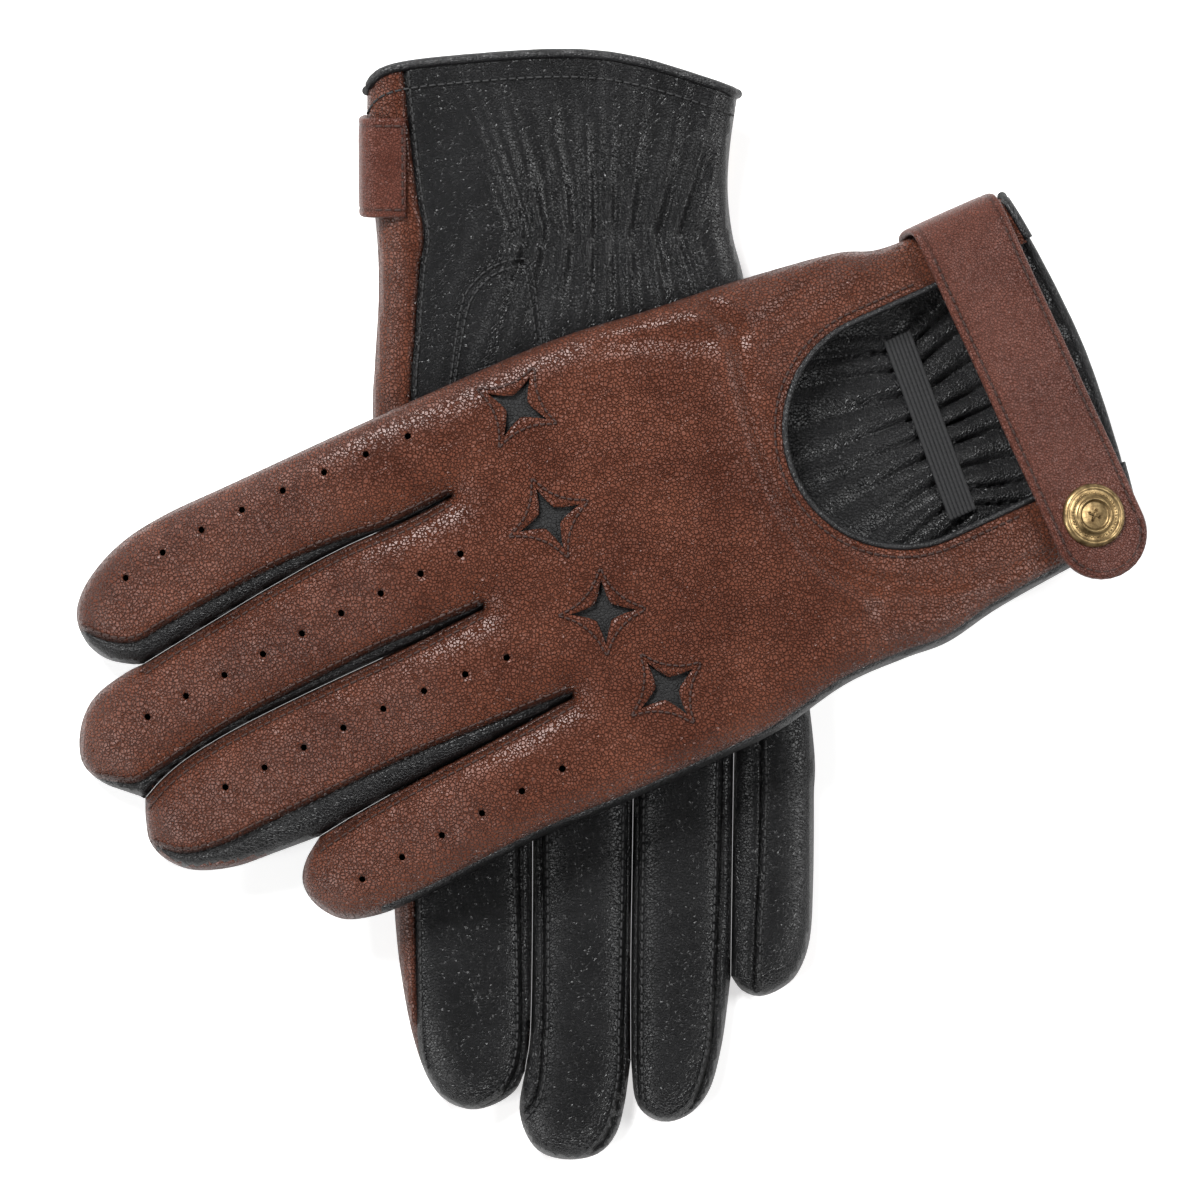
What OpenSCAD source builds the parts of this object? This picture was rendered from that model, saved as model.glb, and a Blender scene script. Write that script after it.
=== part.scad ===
// A pair of leather driving gloves laid crosswise: the left glove, back up, lies on the right glove, palm up.
// Each glove is drawn in its own frame: +X to the fingertips, +Y to the little finger, +Z out of the back,
// with X = 0 at the narrowest part of the wrist and Z = 0 on the outside of the palm.

/* [Leather] */
// Thickness of the glove leather
leather = 1; // [0.8:0.1:1.3]
// Thickness of the thin leather behind the stars and in the strap lining
thin_leather = 0.7; // [0.5:0.1:1]
// Outside height of a glove lying flat
glove_h = 10; // [9:0.5:14]

/* [Hand] */
// Width across the knuckles
palm_w = 101; // [85:1:122]
// Width across the wrist
wrist_w = 83; // [70:1:99]
// Wrist line to the gap between index and middle finger
hand_len = 107; // [90:1:128]
// Wrist line back to the edge of the cuff
cuff_len = 37; // [31:1:46]
// Radius of the curved cuff edge, seen from above
cuff_r = 110; // [90:1:140]
// Width of the back leather that is turned on to the palm at the wrist
side_strip_w = 9.5; // [7:0.5:12]
// Width of the same strip at the tip of the index finger
side_strip_tip_w = 5; // [3:0.5:8]

/* [Fingers] */
// Length of the fingers beyond the gap of index and middle finger, index to little
finger_len = [91, 104, 96, 70]; // [55:1:130]
// Gap between the sides of two fingers
finger_gap = 0.8; // [0.6:0.1:2]
// Where each finger gap starts, forward of the first
crotch_step = [0, 4, -6]; // [-10:1:10]

/* [Perforations] */
// Diameter of the ventilation holes
perf_d = 1.5; // [1:0.1:2.4]
// Spacing of the holes along a finger
perf_pitch = 10.1; // [7:0.1:12]
// Holes on each finger, index to little
perf_count = [8, 9, 8, 6]; // [1:1:10]
// How far each row is off the middle of its finger, towards the little finger
perf_shift = [-5, 0.5, -0.8, 2]; // [-6:0.1:6]

/* [Stars] */
// Star size, tip to tip
star_d = 15; // [10:0.5:18]
// Distance of each star's centre behind the gap of index and middle finger
star_back = [21.5, 18, 20, 26]; // [14:0.5:34]
// Turn of each star
star_turn = [42, 0, -20, 13]; // [-45:1:45]

/* [Wrist opening] */
// Radius of the round end of the opening in the back of the wrist
opening_r = 26; // [20:0.5:30]
// Centre of the round end, forward of the wrist line
opening_x = 9; // [4:0.5:14]
// Width of the bound edge of the opening
piping_w = 1.2; // [0.8:0.1:2]
// Height by which the piping stands proud of the leather
piping_proud = 0.3; // [0.2:0.1:0.5]

/* [Cuff binding] */
// Width of the rolled binding along the cuff
binding_w = 2.4; // [1.6:0.1:3.5]
// How far the binding stands proud of the leather, inside and outside
binding_proud = 0.5; // [0.3:0.1:1]

/* [Elastic] */
// Width of the ribbed elastic
elastic_w = 6; // [4:0.5:9]
// Length of the elastic across the palm
elastic_len = 43; // [30:1:52]
// Thickness of the elastic
elastic_t = 1.2; // [0.8:0.1:1.8]

/* [Thumb] */
// Width of the free part of the thumb
thumb_w = 24; // [20:0.5:28]
// Length of the free part of the thumb
thumb_len = 64; // [52:1:74]
// Height of the thumb lying flat on the palm
thumb_h = 7; // [6.2:0.1:9]
// Diameter of the hole in the palm that the thumb is sewn into
keyhole_w = 20; // [14:1:22]

/* [Strap] */
// Width of the strap
strap_w = 20.7; // [16:0.1:25]
// Rear edge of each glove's strap, behind the wrist line, left and right
strap_x = [30, 25.5]; // [24:0.5:33]
// How far each glove's strap stands past the little-finger edge of the wrist, left and right
strap_past = [6, 0.5]; // [0:0.5:9]
// Space between the strap and the back of the glove, taken up by the snap
strap_lift = 2.6; // [2.4:0.1:3.2]
// Space between the sewn root of the strap and the cuff binding that it passes
root_gap = 0.1; // [0.1:0.1:0.6]

/* [Snap] */
// Diameter of the snap cap
cap_d = 14.5; // [11:0.1:16]
// Height of the cap above the strap
cap_h = 2.2; // [1.4:0.1:3]
// Snap centre, in from the little-finger edge of the wrist
snap_in = 8.8; // [7.5:0.1:11]
// Diameter of the stud's head
stud_d = 4.4; // [3.4:0.1:5]
// Clearance between the stud and its socket, and between the strap and what it folds past
snap_gap = 0.3; // [0.3:0.05:0.6]

/* [How the gloves lie] */
// Turn of the left glove across the right one
cross_angle = 24.5; // [10:0.5:40]
// Wrist line of the left glove, at the middle of the wrist opening
left_at = [70.5, 56.5]; // [-100:0.1:100]
// Wrist line of the right glove
right_at = [-4.2, 86]; // [-100:0.1:100]
// Droop of the left glove's wrist and of its fingers
left_droop = [13.4, 12.8]; // [0:0.2:14]
// Rise of the right glove's wrist, which lies on its own strap
right_rise = 7.6; // [7.4:0.1:9]
// Space between two gloves that lie on each other
lie_gap = 2.2; // [1.8:0.1:3]

/* [Hidden] */
$fn = 64;
LEFT = 0;
RIGHT = 1;
INDEX = 0;
LITTLE = 3;
chestnut = [0.40, 0.19, 0.12];
black = [0.08, 0.08, 0.08];
brass = [0.62, 0.50, 0.28];

// How each glove is spread: middle of the wrist, middle of the palm, and each finger's share of the palm's width
wrist_mid = [15, -7.5];
palm_mid = [11.7, 3];
finger_share = [[0.224, 0.255, 0.259, 0.262], [0.33, 0.235, 0.225, 0.21]];
// Sideways lean of each fingertip, and the middle of each star row, as shares of the finger's width
tip_lean = [[0.5, 3, 3, 3], [-0.5, -0.5, -0.5, 0]];
star_side = [-0.06, 0.02, -0.02, -0.22];
// Thumb: centre of its root behind the finger gap, in from the index-finger edge, and its turn over the palm
thumb_root = [[49, 21], [54, 22]];
thumb_turn = [50, -2];

// Fold lines across the glove, the one at the fingers midway between two holes, and where the fingers start
wrist_fold_x = opening_x + opening_r + piping_w + 2;
perf_start = 4;
finger_fold_x = hand_len + perf_start + 1.5 * perf_pitch;
root_x = hand_len - 16;
wrist_len = 75;
inner_h = glove_h - 2 * leather;
far = 400;
join = 0.25;
left_z = glove_h + thumb_h + lie_gap;
strap_t = leather + thin_leather;
root_top = glove_h + strap_lift + snap_gap;
strap_z = glove_h + strap_lift;
hinge_in = 1;
flange_t = 0.7;
shank_r = 1.1;

function sum(v, n) = n <= 0 ? 0 : v[n - 1] + sum(v, n - 1);
function finger_w(g, i) = palm_w * finger_share[g][i] - finger_gap;
function finger_y(g, i) = palm_mid[g] - palm_w / 2 + palm_w * (sum(finger_share[g], i) + finger_share[g][i] / 2);
function crotch_y(g, i) = palm_mid[g] - palm_w / 2 + palm_w * sum(finger_share[g], i + 1);
function finger_reach(g, i) = hand_len + finger_len[i] - root_x - finger_w(g, i) / 2;
function spread(x) = x <= 0 ? 0 : x >= wrist_len ? 1 : sin(90 * x / wrist_len);
function hand_mid(g, x) = wrist_mid[g] + (palm_mid[g] - wrist_mid[g]) * spread(x);
function hand_w(x) = wrist_w + (palm_w - wrist_w) * spread(x);
// Edge of the hand at x: side -1 is the index-finger edge, side 1 the little-finger edge
function edge(g, side, x) = hand_mid(g, x) + side * hand_w(x) / 2;
edge_x = [-cuff_len - 20, 0, 15, 35, 55, wrist_len, root_x + 2];

// Places a glove's own frame in the pair
module on_table(g) {
    if (g == LEFT)
        translate([left_at.x, left_at.y, left_z]) rotate([0, 0, 180 + cross_angle]) children();
    else
        translate([right_at.x, right_at.y, glove_h]) mirror([0, 0, 1]) rotate([0, 0, -90]) children();
}

function wrist_droop(g) = g == LEFT ? left_droop[0] : right_rise;
function finger_droop(g) = g == LEFT ? left_droop[1] : 0;

// Turns the wrist, behind its fold line, towards the palm
module wrist_turned(g) {
    translate([wrist_fold_x, 0, 0]) rotate([0, -wrist_droop(g), 0]) translate([-wrist_fold_x, 0, 0]) children();
}

// Turns the fingers, beyond their fold line, towards the palm
module fingers_turned(g) {
    translate([finger_fold_x, 0, 0]) rotate([0, finger_droop(g), 0]) translate([-finger_fold_x, 0, 0]) children();
}

// Everything on the fingertip side (side 1) or the cuff side (side -1) of a plane across the glove at x,
// tipped by half a fold so that two folded halves meet in it, and a hair past it so that they join
module beyond(x, side, half_fold) {
    translate([x, 0, 0]) rotate([0, half_fold, 0]) translate([side * (far / 2 - join), 0, 0]) cube(far, center = true);
}

// Folds a piece at the wrist and at the fingers
module folded(g) {
    intersection() {
        children();
        beyond(wrist_fold_x, 1, -wrist_droop(g) / 2);
        if (finger_droop(g) > 0) beyond(finger_fold_x, -1, finger_droop(g) / 2);
    }
    wrist_turned(g) intersection() {
        children();
        beyond(wrist_fold_x, -1, wrist_droop(g) / 2);
    }
    if (finger_droop(g) > 0) fingers_turned(g) intersection() {
        children();
        beyond(finger_fold_x, 1, -finger_droop(g) / 2);
    }
}

// Outlines, seen from the back of the hand. inset moves the sides and tips inwards.
module in_finger(g, i) {
    translate([root_x, finger_y(g, i)]) rotate(atan(tip_lean[g][i] / finger_reach(g, i))) children();
}

module finger_plan(g, i, inset) {
    width = finger_w(g, i) - 2 * inset;
    in_finger(g, i) {
        translate([0, -width / 2]) square([finger_reach(g, i), width]);
        translate([finger_reach(g, i), 0]) circle(d = width);
    }
}

module hand_plan(g, inset) {
    polygon([
        for (x = edge_x) [x, edge(g, -1, x) + inset],
        for (k = [len(edge_x) - 1:-1:0]) [edge_x[k], edge(g, 1, edge_x[k]) - inset]
    ]);
}

module cuff_disc(g, grow) {
    translate([cuff_r - cuff_len, wrist_mid[g]]) circle(r = cuff_r + grow, $fn = 200);
}

module finger_plans(g, inset) {
    for (i = [INDEX:LITTLE]) finger_plan(g, i, inset);
    for (i = [INDEX:LITTLE - 1])
        translate([root_x, crotch_y(g, i) - 3])
            square([hand_len + crotch_step[i] - root_x - inset, 6]);
}

module outer_plan(g) {
    intersection() {
        hand_plan(g, 0);
        cuff_disc(g, 0);
    }
    finger_plans(g, 0);
}

module inner_plan(g) {
    hand_plan(g, leather);
    finger_plans(g, leather);
}

module wall_plan(g) {
    difference() {
        outer_plan(g);
        inner_plan(g);
    }
}

// The index-finger half (side -1) or little-finger half (side 1) of the hand, with the outer half of that finger
module outer_half(g, side) {
    translate([-far, side < 0 ? wrist_mid[g] - far : wrist_mid[g]]) square([far + root_x, far]);
    in_finger(g, side < 0 ? INDEX : LITTLE) translate([0, side < 0 ? -far : 0]) square(far);
}

// The strip of palm side that the back leather covers
module side_strip_plan(g) {
    half_w = finger_w(g, INDEX) / 2;
    intersection() {
        outer_plan(g);
        union() {
            polygon([
                for (x = edge_x) [x, edge(g, -1, x) - 5],
                for (k = [len(edge_x) - 1:-1:0]) [edge_x[k], edge(g, -1, edge_x[k]) + side_strip_w]
            ]);
            in_finger(g, INDEX) polygon([
                [0, -half_w - 5], [0, -half_w + side_strip_w],
                [finger_reach(g, INDEX) + half_w, -half_w + side_strip_tip_w],
                [finger_reach(g, INDEX) + half_w, -half_w - 5]
            ]);
        }
    }
}

module opening_plan(g, grow) {
    mid = wrist_mid[g] - 2.8;
    translate([opening_x, mid]) circle(r = opening_r + grow);
    translate([-far, mid - opening_r - grow]) square([far + opening_x, 2 * (opening_r + grow)]);
}

// Four-pointed star with hollow sides
module star_plan() {
    waist = 0.36;
    polygon([for (k = [0:7]) let (r = star_d / 2 * (k % 2 == 0 ? 1 : waist)) r * [cos(45 * k), sin(45 * k)]]);
}

function star_y(g, i) = finger_y(g, i) + star_side[i] * finger_w(g, i);

module plate(z, thick) {
    translate([0, 0, z]) linear_extrude(thick) children();
}

module star_plans(g) {
    for (i = [INDEX:LITTLE])
        translate([hand_len - star_back[i], star_y(g, i)]) rotate(star_turn[i]) star_plan();
}

module perforation_plans(g) {
    for (i = [INDEX:LITTLE]) in_finger(g, i) for (k = [0:perf_count[i] - 1])
        translate([hand_len + perf_start - root_x + k * perf_pitch, perf_shift[i]]) circle(d = perf_d, $fn = 24);
}

module back_panel(g) {
    color(chestnut) folded(g) {
        plate(glove_h - leather, leather) difference() {
            outer_plan(g);
            opening_plan(g, piping_w);
            star_plans(g);
            perforation_plans(g);
            wrist_hole(g);
        }
        plate(leather, inner_h) intersection() {
            wall_plan(g);
            outer_half(g, -1);
        }
        plate(0, leather) side_strip_plan(g);
    }
}

module palm_panel(g) {
    color(black) folded(g) {
        plate(0, leather) difference() {
            outer_plan(g);
            side_strip_plan(g);
            keyhole_plan(g);
        }
        plate(leather, inner_h) intersection() {
            wall_plan(g);
            outer_half(g, 1);
        }
    }
}

// One fourchette: the side of finger i that faces the little finger (side 1) or the index finger (side -1)
module fourchette(g, i, side) {
    half_w = finger_w(g, i) / 2;
    color(black) folded_fingers(g) plate(leather, inner_h) intersection() {
        wall_plan(g);
        in_finger(g, i) translate([0, side < 0 ? -half_w - finger_gap / 2 : 0]) square([far, half_w + finger_gap / 2]);
    }
}

// Folds a piece that lies beyond the wrist fold
module folded_fingers(g) {
    if (finger_droop(g) > 0) {
        intersection() {
            children();
            beyond(finger_fold_x, -1, finger_droop(g) / 2);
        }
        fingers_turned(g) intersection() {
            children();
            beyond(finger_fold_x, 1, -finger_droop(g) / 2);
        }
    }
    else children();
}

// Thumb, lying under the palm, and the patch that fills its keyhole in the palm
module in_thumb(g) {
    translate([hand_len - thumb_root[g][0], edge(g, -1, hand_len - thumb_root[g][0]) + thumb_root[g][1]])
        rotate(thumb_turn[g]) children();
}

module thumb_plan(g, inset) {
    width = thumb_w - 2 * inset;
    reach = thumb_len - thumb_w;
    in_thumb(g) {
        circle(d = width);
        translate([0, -width / 2]) square([reach, width]);
        translate([reach, 0]) circle(d = width);
    }
}

module keyhole_plan(g) {
    in_thumb(g) circle(d = keyhole_w);
}

module thumb(g) {
    mouth_d = keyhole_w - 4;
    color(black) difference() {
        union() {
            plate(-thumb_h, thumb_h) thumb_plan(g, 0);
            plate(0, leather) keyhole_plan(g);
        }
        plate(-thumb_h + leather, thumb_h - 2 * leather) thumb_plan(g, leather);
        plate(-leather - 1, 2 * leather + 2) in_thumb(g) circle(d = mouth_d);
    }
}

module star_backing(g) {
    margin = 5;
    color(black) plate(glove_h - leather - thin_leather, thin_leather) intersection() {
        hand_plan(g, leather + 1);
        translate([hand_len - max(star_back) - star_d / 2 - margin, -far / 2])
            square([max(star_back) - min(star_back) + star_d + 2 * margin, far]);
    }
}

module opening_piping(g) {
    color(black) wrist_turned(g) plate(glove_h - leather - piping_proud, leather + 2 * piping_proud) intersection() {
        difference() {
            opening_plan(g, piping_w);
            opening_plan(g, 0);
        }
        cuff_disc(g, 0);
    }
}

module cuff_binding(g) {
    color(black) wrist_turned(g) difference() {
        plate(-binding_proud, glove_h + 2 * binding_proud) difference() {
            intersection() {
                hand_plan(g, -binding_proud);
                cuff_disc(g, binding_w);
            }
            cuff_disc(g, 0);
        }
        plate(leather + binding_proud, inner_h - 2 * binding_proud) hand_plan(g, leather + binding_proud);
        plate(glove_h - leather - 1, 3 * leather) opening_plan(g, 0);
    }
}

module palm_elastic(g) {
    color(black) wrist_turned(g) translate([-1, wrist_mid[g] - 0.5 - elastic_len / 2, leather])
        cube([elastic_w, elastic_len, elastic_t]);
}

// Strap and snap. The snap's centre line stands on the back of the wrist.
function snap_x(g) = strap_w / 2 - 0.8 - strap_x[g];

module at_snap(g, z) {
    translate([snap_x(g), wrist_mid[g] + wrist_w / 2 - snap_in, z]) children();
}

module wrist_hole(g) {
    translate([snap_x(g), wrist_mid[g] + wrist_w / 2 - snap_in]) circle(r = shank_r);
}

module snap_reinforcement(g) {
    top = glove_h - leather;
    color(black) wrist_turned(g) difference() {
        at_snap(g, top - leather) cylinder(d = cap_d, h = leather);
        at_snap(g, top - leather - 1) cylinder(r = shank_r, h = leather + 2);
        plate(top - 2 * leather, 3 * leather) opening_plan(g, piping_w + 0.2);
    }
}

module snap_stud(g) {
    head_h = strap_lift - flange_t - 0.3;
    color(brass) wrist_turned(g) at_snap(g, glove_h) {
        cylinder(d = cap_d - 4, h = flange_t);
        cylinder(d = stud_d - 1, h = flange_t + head_h / 2);
        translate([0, 0, flange_t + head_h / 2]) cylinder(d = stud_d, h = head_h / 2);
    }
}

module snap_post(g) {
    color(brass) wrist_turned(g) at_snap(g, glove_h - 2 * leather) {
        cylinder(r = shank_r, h = 2 * leather);
        translate([0, 0, -flange_t]) cylinder(d = cap_d - 6, h = flange_t);
    }
}

// The strap's sewn end: from the palm seam, round the index-finger side, up to where the strap folds past it
module strap_root(g) {
    off = binding_proud + root_gap;
    low = -off - leather;
    color(chestnut) wrist_turned(g) translate([-strap_x[g], wrist_mid[g] - wrist_w / 2 - off - leather, low]) {
        cube([strap_w, side_strip_w + off + leather, leather]);
        cube([strap_w, leather, root_top - low]);
    }
}

module strap_plan(g, inset) {
    y0 = wrist_mid[g] - wrist_w / 2 + hinge_in + snap_gap;
    y1 = wrist_mid[g] + wrist_w / 2 + strap_past[g];
    corner = strap_w / 2 - inset;
    intersection() {
        union() {
            translate([-strap_x[g] + inset, y0]) square([strap_w - 2 * inset, y1 - y0 - inset - corner]);
            translate([strap_w / 2 - strap_x[g], y1 - inset - corner]) circle(r = corner);
        }
        translate([-strap_x[g], y0]) square([strap_w, y1 - y0]);
    }
}

module strap_outer(g) {
    color(chestnut) wrist_turned(g) difference() {
        plate(strap_z + thin_leather, leather) strap_plan(g, 0);
        at_snap(g, strap_z) cylinder(r = shank_r, h = strap_t + 1);
    }
}

module strap_lining(g) {
    color(chestnut) wrist_turned(g) difference() {
        plate(strap_z, thin_leather) strap_plan(g, 0.3);
        at_snap(g, strap_z - 1) cylinder(r = shank_r, h = strap_t + 1);
    }
}

// Cap: a low dome with a raised rim and a sunk middle
module snap_cap(g) {
    r = cap_d / 2;
    color(brass) wrist_turned(g) at_snap(g, strap_z) {
        cylinder(r = shank_r, h = strap_t);
        translate([0, 0, strap_t]) rotate_extrude() polygon([
            [0, 0], [r - 0.4, 0], [r, 0.4], [r, cap_h * 0.45], [r - 0.9, cap_h * 0.7],
            [r * 0.58, cap_h], [r * 0.5, cap_h], [r * 0.44, cap_h * 0.7], [0, cap_h * 0.7]
        ]);
    }
}

module snap_socket(g) {
    floor_z = glove_h + flange_t + snap_gap;
    color(brass) wrist_turned(g) at_snap(g, floor_z) difference() {
        cylinder(d = cap_d - 3, h = strap_z - floor_z);
        translate([0, 0, -1]) cylinder(d = stud_d + 2 * snap_gap, h = strap_z - floor_z + 2);
    }
}

on_table(LEFT) back_panel(LEFT);  // left_back_panel
on_table(LEFT) palm_panel(LEFT);  // left_palm_panel
on_table(LEFT) thumb(LEFT);  // left_thumb
on_table(LEFT) fourchette(LEFT, 0, 1);  // left_fourchette_index
on_table(LEFT) fourchette(LEFT, 1, -1);  // left_fourchette_middle_inner
on_table(LEFT) fourchette(LEFT, 1, 1);  // left_fourchette_middle_outer
on_table(LEFT) fourchette(LEFT, 2, -1);  // left_fourchette_ring_inner
on_table(LEFT) fourchette(LEFT, 2, 1);  // left_fourchette_ring_outer
on_table(LEFT) fourchette(LEFT, 3, -1);  // left_fourchette_little
on_table(LEFT) star_backing(LEFT);  // left_star_backing
on_table(LEFT) opening_piping(LEFT);  // left_opening_piping
on_table(LEFT) cuff_binding(LEFT);  // left_cuff_binding
on_table(LEFT) palm_elastic(LEFT);  // left_palm_elastic
on_table(LEFT) snap_reinforcement(LEFT);  // left_snap_reinforcement
on_table(LEFT) snap_stud(LEFT);  // left_snap_stud
on_table(LEFT) snap_post(LEFT);  // left_snap_post
on_table(LEFT) strap_root(LEFT);  // left_strap_root
on_table(LEFT) strap_outer(LEFT);  // left_strap_outer
on_table(LEFT) strap_lining(LEFT);  // left_strap_lining
on_table(LEFT) snap_cap(LEFT);  // left_snap_cap
on_table(LEFT) snap_socket(LEFT);  // left_snap_socket
on_table(RIGHT) back_panel(RIGHT);  // right_back_panel
on_table(RIGHT) palm_panel(RIGHT);  // right_palm_panel
on_table(RIGHT) thumb(RIGHT);  // right_thumb
on_table(RIGHT) fourchette(RIGHT, 0, 1);  // right_fourchette_index
on_table(RIGHT) fourchette(RIGHT, 1, -1);  // right_fourchette_middle_inner
on_table(RIGHT) fourchette(RIGHT, 1, 1);  // right_fourchette_middle_outer
on_table(RIGHT) fourchette(RIGHT, 2, -1);  // right_fourchette_ring_inner
on_table(RIGHT) fourchette(RIGHT, 2, 1);  // right_fourchette_ring_outer
on_table(RIGHT) fourchette(RIGHT, 3, -1);  // right_fourchette_little
on_table(RIGHT) star_backing(RIGHT);  // right_star_backing
on_table(RIGHT) opening_piping(RIGHT);  // right_opening_piping
on_table(RIGHT) cuff_binding(RIGHT);  // right_cuff_binding
on_table(RIGHT) palm_elastic(RIGHT);  // right_palm_elastic
on_table(RIGHT) snap_reinforcement(RIGHT);  // right_snap_reinforcement
on_table(RIGHT) snap_stud(RIGHT);  // right_snap_stud
on_table(RIGHT) snap_post(RIGHT);  // right_snap_post
on_table(RIGHT) strap_root(RIGHT);  // right_strap_root
on_table(RIGHT) strap_outer(RIGHT);  // right_strap_outer
on_table(RIGHT) strap_lining(RIGHT);  // right_strap_lining
on_table(RIGHT) snap_cap(RIGHT);  // right_snap_cap
on_table(RIGHT) snap_socket(RIGHT);  // right_snap_socket
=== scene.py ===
import math

import bmesh
import bpy
import numpy as np
from mathutils import Matrix, Vector
from mathutils.geometry import delaunay_2d_cdt


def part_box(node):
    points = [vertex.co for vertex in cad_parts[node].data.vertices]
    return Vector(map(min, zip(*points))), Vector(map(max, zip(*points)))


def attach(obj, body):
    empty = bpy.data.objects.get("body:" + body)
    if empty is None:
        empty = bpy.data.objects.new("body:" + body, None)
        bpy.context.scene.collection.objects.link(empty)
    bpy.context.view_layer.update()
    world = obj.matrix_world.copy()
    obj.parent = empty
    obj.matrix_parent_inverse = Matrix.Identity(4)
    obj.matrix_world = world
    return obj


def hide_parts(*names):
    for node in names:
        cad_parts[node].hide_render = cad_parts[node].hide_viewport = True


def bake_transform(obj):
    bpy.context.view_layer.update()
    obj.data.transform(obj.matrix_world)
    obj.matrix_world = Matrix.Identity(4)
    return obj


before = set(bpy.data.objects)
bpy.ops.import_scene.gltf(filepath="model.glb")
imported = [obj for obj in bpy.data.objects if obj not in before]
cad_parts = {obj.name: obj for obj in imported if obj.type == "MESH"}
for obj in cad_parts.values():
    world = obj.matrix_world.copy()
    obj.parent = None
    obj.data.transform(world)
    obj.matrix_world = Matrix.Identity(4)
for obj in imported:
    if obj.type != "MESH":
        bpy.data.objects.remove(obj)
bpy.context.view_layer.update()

# A pair of leather driving gloves laid crosswise. Everything is worked out in millimetres in each glove's own
# frame (x to the fingertips, y to the little finger, z out of the back) and then laid on the table in metres.
MM = 0.001

LEFT, RIGHT = 0, 1
NAME = ["left", "right"]
HEIGHT = 10.0
MIDDLE = HEIGHT / 2
LEATHER = 1.0
CROSS_ANGLE = math.radians(24.5)
LEFT_Z = 19.2
FOLD_X = [38.2, 126.2]
WRIST_DROOP = [math.radians(13.4), math.radians(7.6)]
FINGER_DROOP = [math.radians(12.8), 0.0]
WRIST_MID = [15.0, -7.5]
HALF_WRIST = 41.5
OPENING_MID = [12.2, -10.3]
STRAP_Z = 12.6
STRAP_T = 1.7
STRAP_FRONT, STRAP_BACK = [-8.9, -3.6], [-30.0, -25.9]
STRAP_PAST = [6.0, -1.4]
STITCH_IN = 0.84  # the strap stitching, as a share of its half width
OPENING_X, OPENING_R = 8.8, 26.0
ROUND_R = 9.0


# ---------------------------------------------------------------- laying out
def soft_ramp(d, width=16.0):
    """0 below -width/2, d above width/2, and a smooth bend between."""
    d = np.asarray(d, float)
    mid = (d + width / 2) ** 2 / (2 * width)
    return np.where(d <= -width / 2, 0.0, np.where(d >= width / 2, d, mid))


def drop(g, x):
    return (soft_ramp(FOLD_X[0] - x) * math.tan(WRIST_DROOP[g])
            + soft_ramp(x - FOLD_X[1]) * math.tan(FINGER_DROOP[g]))


def turned(g, p):
    """A glove's own point, turned and flipped as it lies, before it is moved to its place."""
    x, y, z = p[:, 0], p[:, 1], p[:, 2] - drop(g, p[:, 0])
    if g == LEFT:
        c, s = math.cos(CROSS_ANGLE), math.sin(CROSS_ANGLE)
        return np.stack([-x * c + y * s, -x * s - y * c, z + LEFT_Z], axis=1)
    return np.stack([y, -x, HEIGHT - z], axis=1)


def box_middle(node):
    low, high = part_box(node)
    return (np.array(low) + np.array(high)) / 2 / MM


def place_of(g):
    elastic = np.array([[2.0, WRIST_MID[g] - 0.5, LEATHER + 0.6]])
    shift = box_middle(NAME[g] + "_palm_elastic") - turned(g, elastic)[0]
    return np.array([shift[0], shift[1], 0.0])


PLACE = [place_of(LEFT), place_of(RIGHT)]


def on_table(g, p):
    """Points of a glove where it lies, in metres. What would sink into the table is pressed on to it."""
    q = turned(g, np.asarray(p, float).reshape(-1, 3)) + PLACE[g]
    q[:, 2] = np.maximum(q[:, 2], 0.02)
    return q * MM


# ---------------------------------------------------------------- outlines
def spline(points, step=1.2):
    """Smooth curve through a few points."""
    p = [np.array(q, float) for q in points]
    p = [2 * p[0] - p[1]] + p + [2 * p[-1] - p[-2]]
    out = []
    for a, b, c, d in zip(p, p[1:], p[2:], p[3:]):
        n = max(2, int(np.linalg.norm(c - b) / step))
        for k in range(n):
            t = k / n
            out.append(0.5 * (2 * b + (c - a) * t + (2 * a - 5 * b + 4 * c - d) * t * t
                              + (3 * b - a - 3 * c + d) * t ** 3))
    return np.array(out + [p[-2]])


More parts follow.
